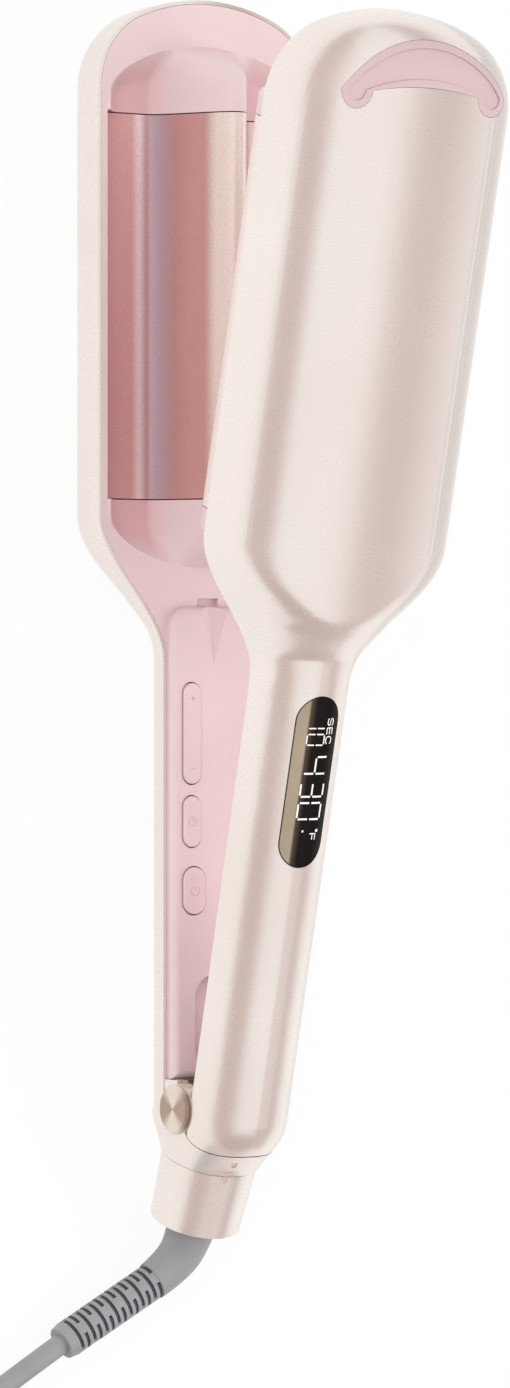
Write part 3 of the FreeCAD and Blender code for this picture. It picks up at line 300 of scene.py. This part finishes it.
finishes = {
    "champagne_shell": pearlFinish("pearlChampagne", pearlLook),
    # the pink covers carry painted shade: a darker pink in their hollows
    "pink_plastic": plasticFinish("blushPlastic", (233, 209, 210), 0.36, coat=0.15, uneven=0.97,
                                  paintedShade=(225, 180, 183)),
    "pink_button": plasticFinish("blushButton", (234, 208, 209), 0.3, coat=0.2, uneven=0.97),
    "rose_plate": plateFinish("rosePlate", plateLook, False),
    "heater_block": plasticFinish("heaterMetal", (170, 170, 172), 0.4, metal=0.9),
    "insulator": plasticFinish("amberFilm", (200, 150, 80), 0.3),
    "spring_steel": plasticFinish("springSteel", (165, 165, 168), 0.3, metal=1.0),
    "fuse": plasticFinish("fuseCeramic", (235, 232, 222), 0.5),
    "dark_plastic": plasticFinish("darkMoulding", (48, 48, 52), 0.5),
    "screw_steel": plasticFinish("zincScrew", (150, 150, 152), 0.35, metal=1.0),
    "lead_wire": plasticFinish("leadSleeve", (215, 210, 200), 0.6),
    "circuit_board": plasticFinish("boardResist", (28, 84, 52), 0.4),
    "hinge_cap": turnedFinish("turnedCap", capLook),
    "bush": plasticFinish("bushBrass", (188, 150, 84), 0.3, metal=1.0),
    "display_glass": glassFinish("displayGlass", glassLook),
    "grey_rubber": plasticFinish("greyRubber", (156, 156, 157), 0.5, grain=900, depth=0.1),
    "tie_strap": plasticFinish("tieStrap", (40, 40, 42), 0.7, depth=0.2),
    "plug_plastic": plasticFinish("plugPlastic", (152, 152, 153), 0.5, grain=900, depth=0.15),
    "blade_metal": plasticFinish("bladeMetal", (206, 196, 170), 0.25, metal=1.0),
}
# painted shade: the dark fill set down in the cord guard's slots
slotShadeFill = plasticFinish("slotShade", (70, 72, 82), 0.6)
signInk = plasticFinish("whiteSign", (250, 250, 246), 0.4, uneven=0.98)
buttonInk = plasticFinish("buttonSign", (222, 182, 186), 0.4)
markInk = plasticFinish("shellMark", (206, 160, 152), 0.4)
for row in frame["record"]["subparts"]:
    mesh = nodes[row["node"]].data
    mesh.materials.clear()
    mesh.materials.append(finishes[row["material_slot"]])
# the upper plate also gets the painted highlight on its flanks
nodes["upper_heat_plate"].data.materials[0] = plateFinish("rosePlateUpper", plateLook, True)
# painted shade: the tip inserts take a darker, glossier copy of the pink plastic, against the key lamp's light on
# their faces
tipPlasticShaded = plasticFinish("tipPlasticShaded", (207, 180, 182), 0.26, coat=0.3, uneven=0.98)
for tip in ("lower_tip_insert", "upper_tip_insert"):
    nodes[tip].data.materials[0] = tipPlasticShaded


# Camera at the photo's angle, rolled so that the arms stand up in the picture
cameraLook = {"distance": 1.5, "elevationSin": 0.8195, "elevationCos": 0.573, "pixelsPerMetre": 4000, "rows": 1388,
              "aim": (103.25, -7.0, 4.9), "sensor": 36, "farClip": 20}
lookAt = hinge + Vector(cameraLook["aim"]) * mm


def makeCamera(look):
    camera = bpy.data.cameras.new("photoCamera")
    camera.sensor_fit = "VERTICAL"
    camera.sensor_height = look["sensor"]
    camera.lens = look["sensor"] * look["pixelsPerMetre"] * look["distance"] / look["rows"]
    camera.clip_end = look["farClip"]
    right = Vector((0, -look["elevationSin"], look["elevationCos"]))
    up = Vector((1, 0, 0))
    back = right.cross(up).normalized()
    holder = bpy.data.objects.new("photoCamera", camera)
    turn = Matrix((right.normalized(), up, back)).transposed().to_4x4()
    holder.matrix_world = Matrix.Translation(lookAt + back * look["distance"]) @ turn
    bpy.context.scene.collection.objects.link(holder)
    bpy.context.scene.camera = holder


makeCamera(cameraLook)

# Cord: the route of the part's own tube, with its put-away length in a coil
cordLook = {
    "diameter": 5.3, "exit": (-58.6, 35.2, 4.9),
    "lead": [(-71.0, 57.0, 4.3), (-79.5, 70.5, 3.9), (-88.5, 81.5, 3.85)],
    "pitch": 5.75, "small": 21.6, "halfTurns": 7, "perHalfTurn": 12,
    "tail": [(12.0, -14.0, -0.7), (13.0, -14.0, -2.0), (12.0, 0.0, 0.0)],
    "bevelSteps": 5, "splineOrder": 3, "splineSteps": 4,
}


def onFloor(point):  # from the hinge axis and the floor to the frame
    return (Vector(point) + Vector((hinge.x / mm, 0, 0))) * mm


def cordRoute(look):
    route = [Vector(look["exit"])] + [Vector(p) for p in look["lead"]]
    ahead = (route[-1] - route[-2]) * Vector((1, 1, 0))
    ahead.normalize()
    left = Vector((-ahead.y, ahead.x, 0))
    count = look["halfTurns"]
    radii = [look["small"] + look["pitch"] / 2 * (count - i) for i in range(count)]
    radii = radii + [look["small"]] + radii[::-1]
    spot = route[-1] + ahead * look["diameter"]
    for i, radius in enumerate(radii):
        climb = Vector((0, 0, look["pitch"] if i == count else 0))
        chord = left * radius + climb / 2
        for k in range(look["perHalfTurn"]):
            turn = math.pi * k / look["perHalfTurn"]
            route.append(spot + chord * (1 - math.cos(turn)) + ahead * (chord.length * math.sin(turn)))
        spot = spot + chord * 2
        ahead, left = -ahead, -left
    route.append(spot)
    route.append(spot + ahead * look["diameter"])
    heading = math.atan2(ahead.y, ahead.x)
    for run, turn, drop in look["tail"]:
        route.append(route[-1] + Vector((run * math.cos(heading), run * math.sin(heading), drop)))
        heading -= math.radians(turn)
    return [onFloor(p) for p in route]


def makeCord(look):
    route = cordRoute(look)
    curve = bpy.data.curves.new("mainsCord", "CURVE")
    curve.dimensions = "3D"
    curve.bevel_depth = look["diameter"] * mm / 2
    curve.bevel_resolution = look["bevelSteps"]
    curve.use_fill_caps = True
    spline = curve.splines.new("NURBS")
    spline.points.add(len(route) - 1)
    for point, place in zip(spline.points, route):
        point.co = (*place, 1)
    spline.order_u = look["splineOrder"]
    spline.use_endpoint_u = True
    spline.resolution_u = look["splineSteps"]
    cord = bpy.data.objects.new("mainsCord", curve)
    bpy.context.scene.collection.objects.link(cord)
    curve.materials.append(finishes["grey_rubber"])
    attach(cord, "lower_arm")
    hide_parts("cord_lead", "cord_coil", "cord_tail")


makeCord(cordLook)
print("camera set and cord laid")


# Cord guard: dark arcs down in its slots as painted shade, two to a slot, each slot a quarter turn on
guardLook = {"end": (-58.6, 35.2, 4.9), "knee": (-39.5, 0.0, 7.0), "ribs": 29.8, "collar": 2.2, "slots": 15,
             "slotWidth": 0.96, "bottom": 3.56, "top": 4.3, "bridge": 3.1, "turn": 55, "arcPoints": 20}


def guardTree(look):
    tree = bpy.data.node_groups.new("guardSlots", "GeometryNodeTree")
    sizes = {"Slot count": "NodeSocketInt", "Slot pitch": "NodeSocketVector", "Arc radius": "NodeSocketFloat",
             "Arc start": "NodeSocketFloat", "Arc sweep": "NodeSocketFloat", "Depth": "NodeSocketFloat",
             "Width": "NodeSocketFloat"}
    keys = {name: tree.interface.new_socket(name, in_out="INPUT", socket_type=kind).identifier
            for name, kind in sizes.items()}
    tree.interface.new_socket("Geometry", in_out="OUTPUT", socket_type="NodeSocketGeometry")
    g = Nodes(tree)
    given = tree.nodes.new("NodeGroupInput")
    size = {name: Value(g, given.outputs[name]) for name in sizes}
    arc = g.add("GeometryNodeCurveArc", {"mode": "RADIUS"},
                {"Resolution": look["arcPoints"], "Radius": size["Arc radius"], "Start Angle": size["Arc start"],
                 "Sweep Angle": size["Arc sweep"]})
    section = g.add("GeometryNodeCurvePrimitiveQuadrilateral", {"mode": "RECTANGLE"},
                    {"Width": size["Depth"], "Height": size["Width"]})
    bar = g.add("GeometryNodeCurveToMesh", None, {"Curve": arc, "Profile Curve": section, "Fill Caps": True})
    other = g.add("GeometryNodeTransform", None, {"Geometry": bar, "Rotation": (0, 0, math.pi)})
    pair = tree.nodes.new("GeometryNodeJoinGeometry")
    tree.links.new(bar.socket, pair.inputs[0])
    tree.links.new(other.socket, pair.inputs[0])
    spots = g.add("GeometryNodeMeshLine", None, {"Count": size["Slot count"], "Offset": size["Slot pitch"]})
    quarter = g.add("GeometryNodeInputIndex").sum("MODULO", 2) * (math.pi / 2)
    turn = g.add("FunctionNodeEulerToRotation", None, {0: g.add("ShaderNodeCombineXYZ", None, {"Z": quarter})})
    rings = g.add("GeometryNodeInstanceOnPoints", None,
                  {"Points": spots, "Instance": Value(g, pair.outputs[0]), "Rotation": turn})
    real = g.add("GeometryNodeRealizeInstances", None, {0: rings})
    painted = g.add("GeometryNodeSetMaterial", None, {"Geometry": real, "Material": slotShadeFill})
    end = tree.nodes.new("NodeGroupOutput")
    tree.links.new(painted.socket, end.inputs[0])
    return tree, keys


def makeGuardSlots(look):
    tree, keys = guardTree(look)
    holder = bpy.data.objects.new("guardSlots", bpy.data.meshes.new("guardSlots"))
    bpy.context.scene.collection.objects.link(holder)
    middle = (look["bottom"] + look["top"]) / 2
    clear = math.asin(look["bridge"] / 2 / middle)
    pitch = look["ribs"] / look["slots"]
    sizes = {"Slot count": look["slots"], "Slot pitch": (0, 0, pitch * mm), "Arc radius": middle * mm,
             "Arc start": clear, "Arc sweep": math.pi - 2 * clear, "Depth": (look["top"] - look["bottom"]) * mm,
             "Width": look["slotWidth"] * mm}
    modifier = holder.modifiers.new("guardSlots", "NODES")
    modifier.node_group = tree
    for name, value in sizes.items():
        modifier[keys[name]] = value
    bpy.context.view_layer.update()
    solid = holder.evaluated_get(bpy.context.evaluated_depsgraph_get())
    mesh = bpy.data.meshes.new_from_object(solid)
    holder.modifiers.clear()
    holder.data = mesh
    heading = (Vector(look["end"]) - Vector(look["knee"])).normalized()
    first = Vector(look["end"]) - heading * (look["ribs"] + look["collar"] - pitch / 2)
    turn = Vector((0, 0, 1)).rotation_difference(heading).to_matrix().to_4x4()
    turn = turn @ Matrix.Rotation(math.radians(look["turn"]), 4, "Z")
    mesh.transform(Matrix.Translation(onFloor(first)) @ turn)
    build = bmesh.new()
    build.from_mesh(mesh)
    bmesh.ops.recalc_face_normals(build, faces=build.faces)
    build.to_mesh(mesh)
    build.free()
    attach(holder, "lower_arm")
    print("guard slots", len(mesh.polygons), "faces")


makeGuardSlots(guardLook)


# Signs are thin strokes that follow what they are printed on
def inkPiece(name, strokes, wrap, ink, body, sunk=0.06, proud=0.03, step=0.4):
    build = bmesh.new()
    for start, end, width in strokes:
        start, end = Vector(start), Vector(end)
        run = end - start
        side = Vector((-run.y, run.x)).normalized() * (width / 2)
        count = max(1, math.ceil(run.length / step))
        rows = []
        for k in range(count + 1):
            spot = start + run * (k / count)
            corners = [(spot - side, -sunk), (spot + side, -sunk), (spot + side, proud), (spot - side, proud)]
            rows.append([build.verts.new(wrap(p.x, p.y, height)) for p, height in corners])
        for a, b in zip(rows, rows[1:]):
            for i in range(4):
                build.faces.new((a[i - 1], a[i], b[i], b[i - 1]))
        build.faces.new(rows[0])
        build.faces.new(rows[-1][::-1])
    bmesh.ops.recalc_face_normals(build, faces=build.faces)
    mesh = bpy.data.meshes.new(name)
    build.to_mesh(mesh)
    build.free()
    mesh.materials.append(ink)
    piece = bpy.data.objects.new(name, mesh)
    bpy.context.scene.collection.objects.link(piece)
    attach(piece, body)


# Display signs, read down the handle: sign, start and end along the arm, foot, head, stroke, gap between bars
displayLook = {
    "signs": [("S", 104.5, 102.7, 2.8, 4.5, 0.26, 0), ("E", 102.1, 100.5, 2.8, 4.5, 0.26, 0),
              ("C", 99.9, 98.1, 2.8, 4.5, 0.26, 0), ("1", 102.0, 102.0, -2.9, 2.2, 0.34, 0.26),
              ("0", 100.5, 97.8, -2.9, 2.2, 0.34, 0.26), ("4", 94.8, 90.6, -2.7, 4.2, 0.46, 0.34),
              ("3", 88.3, 84.8, -2.7, 4.2, 0.46, 0.34), ("0", 83.2, 79.1, -2.7, 4.2, 0.46, 0.34),
              ("F", 75.4, 73.9, 1.8, 3.6, 0.26, 0)],
    "dots": [((76.5, 3.9), (75.8, 3.9), 0.7), ((76.3, -0.4), (75.8, -0.4), 0.5)],
    "flat": 1.4, "round": 12.0, "middle": -6.4,
}
bars = {"a": ((0, 1), (1, 1)), "b": ((1, 1), (1, 0.5)), "c": ((1, 0.5), (1, 0)), "d": ((1, 0), (0, 0)),
        "e": ((0, 0), (0, 0.5)), "f": ((0, 0.5), (0, 1)), "g": ((0, 0.5), (1, 0.5))}
signBars = {"E": "afged", "F": "afge", "0": "abcdef", "1": "bc", "3": "abgcd", "4": "fgbc"}
roundSigns = {"S": [(1, 0.82), (0.75, 1), (0.25, 1), (0, 0.78), (0.15, 0.58), (0.85, 0.42), (1, 0.22), (0.75, 0),
                    (0.25, 0), (0, 0.18)],
              "C": [(1, 0.78), (0.75, 1), (0.25, 1), (0, 0.75), (0, 0.25), (0.25, 0), (0.75, 0), (1, 0.22)]}


def onLens(along, across, height):
    look = displayLook
    reach = max(0.0, abs(across) - look["flat"])
    deep = look["middle"] - math.sqrt((look["round"] + height) ** 2 - reach ** 2)
    return upperPlace @ (Vector((along, across, deep)) * mm)


def displayStrokes(look):
    strokes = []
    for sign, start, end, foot, head, width, space in look["signs"]:
        curve = roundSigns.get(sign)
        for line in zip(curve, curve[1:]) if curve else [bars[letter] for letter in signBars[sign]]:
            a, b = (Vector((start + (end - start) * u, foot + (head - foot) * v)) for u, v in line)
            short = (b - a).normalized() * space
            strokes.append((a + short, b - short, width))
    return strokes + look["dots"]


inkPiece("displaySigns", displayStrokes(displayLook), onLens, signInk, "upper_arm")


# Button signs: faint, on the flat tops
buttonTop = 21.5
buttonLook = {
    "rocker": {"middle": (93.4, 6.8), "body": "rocker", "strokes": "plusMinus", "reach": 8.8, "half": 0.75},
    "timer": {"middle": (71.4, 6.8), "body": "timer", "strokes": "clock", "radius": 1.15, "longHand": 0.6,
              "shortHand": 0.5},
    "power": {"middle": (54.1, 6.1), "body": "power", "strokes": "power", "radius": 1.25, "gapHalf": 38,
              "barFrom": 0.1, "barTo": 1.15},
}
buttonStroke = 0.24


def roundStrokes(radius, start=0.0, end=360.0, count=20):
    turns = [math.radians(start + (end - start) * k / count) for k in range(count + 1)]
    spots = [(radius * math.cos(t), radius * math.sin(t)) for t in turns]
    return list(zip(spots, spots[1:]))


def buttonLines(look):
    if look["strokes"] == "plusMinus":
        reach, half = look["reach"], look["half"]
        return [((reach - half, 0), (reach + half, 0)), ((reach, -half), (reach, half)),
                ((-reach, -half), (-reach, half))]
    radius = look["radius"]
    if look["strokes"] == "clock":
        hands = [((0, 0), (radius * look["longHand"], 0)), ((0, 0), (0, -radius * look["shortHand"]))]
        return roundStrokes(radius) + hands
    bar = ((radius * look["barFrom"], 0), (radius * look["barTo"], 0))
    return roundStrokes(radius, look["gapHalf"], 360 - look["gapHalf"]) + [bar]


for name, look in buttonLook.items():
    middle = look["middle"]
    lines = [(a, b, buttonStroke) for a, b in buttonLines(look)]
    inkPiece(name + "Sign", lines, lambda x, y, h: onFloor((middle[0] + x, middle[1] + y, buttonTop + h)),
             buttonInk, look["body"])

# Lock marks on the tail: shut padlock and line on the bowl, open padlock on the ring
lockBody = [((-0.6, -0.7), (0.6, -0.7)), ((-0.6, 0.2), (0.6, 0.2)), ((-0.6, -0.7), (-0.6, 0.2)),
            ((0.6, -0.7), (0.6, 0.2))]
markLook = {
    "shut": {"middle": (-13.9, 2.7, 9.75), "normal": (-0.755, 0.17, 0.63), "body": "lower_arm",
             "lines": lockBody + [((-0.4, 0.2), (-0.4, 0.8)), ((-0.4, 0.8), (0.4, 0.8)), ((0.4, 0.8), (0.4, 0.2))]},
    "line": {"middle": (-15.75, 2.92, 7.59), "normal": (-0.68, 0.2, 0.7), "body": "lower_arm",
             "lines": [((-1.1, 0.0), (1.1, 0.0))]},
    "ring": {"middle": (-17.61, 2.87, 5.77), "normal": (-0.4, 0.25, 0.88), "body": "lock",
             "lines": lockBody + [((-0.4, 0.2), (-0.4, 0.9)), ((-0.4, 0.9), (0.4, 0.9))]},
}
markStroke = 0.22


def markWrap(look):
    normal = Vector(look["normal"]).normalized()
    right = Vector((1, 0, 0)).cross(normal).normalized() * -1
    up = normal.cross(right)
    middle = hinge + Vector(look["middle"]) * mm
    return lambda x, y, h: middle + (right * x + up * y + normal * h) * mm


for name, look in markLook.items():
    lines = [(a, b, markStroke) for a, b in look["lines"]]
    inkPiece(name + "Mark", lines, markWrap(look), markInk, look["body"], sunk=0.15, proud=0.05)
print("signs drawn")


# Studio: white floor, soft lamps, and a world of broad pale and warm strips that only gloss shows
warmStrip = (0.42, 0.305, 0.28, 1)
paleStrip = (0.9, 0.9, 0.905, 1)
softStrip = (0.5, 0.375, 0.345, 1)
studio = {"floorSize": 6.0, "floorTone": 0.9, "plainLight": 0.74, "floorGlow": 0.93, "shadeFrom": -0.66,
          "shadeTo": -0.82,
          "strips": [(-180, paleStrip), (-78, paleStrip), (-60, warmStrip), (-42, warmStrip), (-30, paleStrip),
                     (26, paleStrip), (56, softStrip), (100, softStrip), (116, paleStrip), (180, paleStrip)]}


def makeFloor(look):
    f = Finish("studioFloor")
    seen = (f.ray("Is Camera Ray") + f.ray("Is Glossy Ray") + f.ray("Is Transmission Ray")) * look["floorGlow"]
    tone = look["floorTone"]
    plain = f.add("ShaderNodeBsdfDiffuse", None, {"Color": (tone, tone, tone, 1)})
    glow = f.add("ShaderNodeEmission", None, {"Color": (1, 1, 1, 1), "Strength": 1.0})
    mixed = f.add("ShaderNodeMixShader", None, {0: seen, 1: plain, 2: glow})
    f.tree.links.new(mixed.socket, f.output.inputs["Surface"])
    half = look["floorSize"] / 2
    mesh = bpy.data.meshes.new("studioFloor")
    mesh.from_pydata([(-half, -half, 0), (half, -half, 0), (half, half, 0), (-half, half, 0)], [], [(0, 1, 2, 3)])
    mesh.materials.append(f.material)
    floor = bpy.data.objects.new("studioFloor", mesh)
    bpy.context.scene.collection.objects.link(floor)


def makeWorld(look):
    world = bpy.data.worlds.new("studioWorld")
    bpy.context.scene.world = world
    world.use_nodes = True
    w = Nodes(world.node_tree)
    background = w.tree.nodes["Background"]
    toward = w.add("ShaderNodeTexCoord", out="Generated")
    turn = w.part(toward, "Y").sum("ARCTAN2", w.part(toward, "Z"))
    stops = [((angle + 180) / 360, colour) for angle, colour in look["strips"]]
    strips = w.add("ShaderNodeValToRGB", {"stops": stops}, {0: turn / (2 * math.pi) + 0.5})
    shade = w.limit(w.part(toward, "X"), look["shadeTo"], look["shadeFrom"], True)
    strips = w.blend(shade, warmStrip, strips)
    gloss = w.ray("Is Glossy Ray")
    seen = w.ray("Is Camera Ray").sum("MAXIMUM", gloss).sum("MAXIMUM", w.ray("Is Transmission Ray"))
    w.feed(background.inputs["Color"], w.blend(gloss, (1, 1, 1, 1), strips))
    w.feed(background.inputs["Strength"], seen * (1 - look["plainLight"]) + look["plainLight"])


lamps = {
    "keyLamp": {"from": (0.35, 0.85, 0.75), "size": 0.8, "power": 4.5},
    "fillLamp": {"from": (-0.3, -0.9, 0.8), "size": 0.9, "power": 6.5},
    "topLamp": {"from": (0.1, 0.05, 1.2), "size": 0.6, "power": 1.0},
}


def makeLamps():
    for name, look in lamps.items():
        lamp = bpy.data.lights.new(name, "AREA")
        lamp.size = look["size"]
        lamp.energy = look["power"]
        holder = bpy.data.objects.new(name, lamp)
        holder.location = lookAt + Vector(look["from"])
        holder.rotation_euler = (-Vector(look["from"])).to_track_quat("-Z", "Y").to_euler()
        holder.visible_glossy = False  # gloss shows the strips alone
        bpy.context.scene.collection.objects.link(holder)


makeFloor(studio)
makeWorld(studio)
makeLamps()
bpy.context.scene.view_settings.view_transform = "Standard"
print("studio set")

bpy.context.view_layer.update()
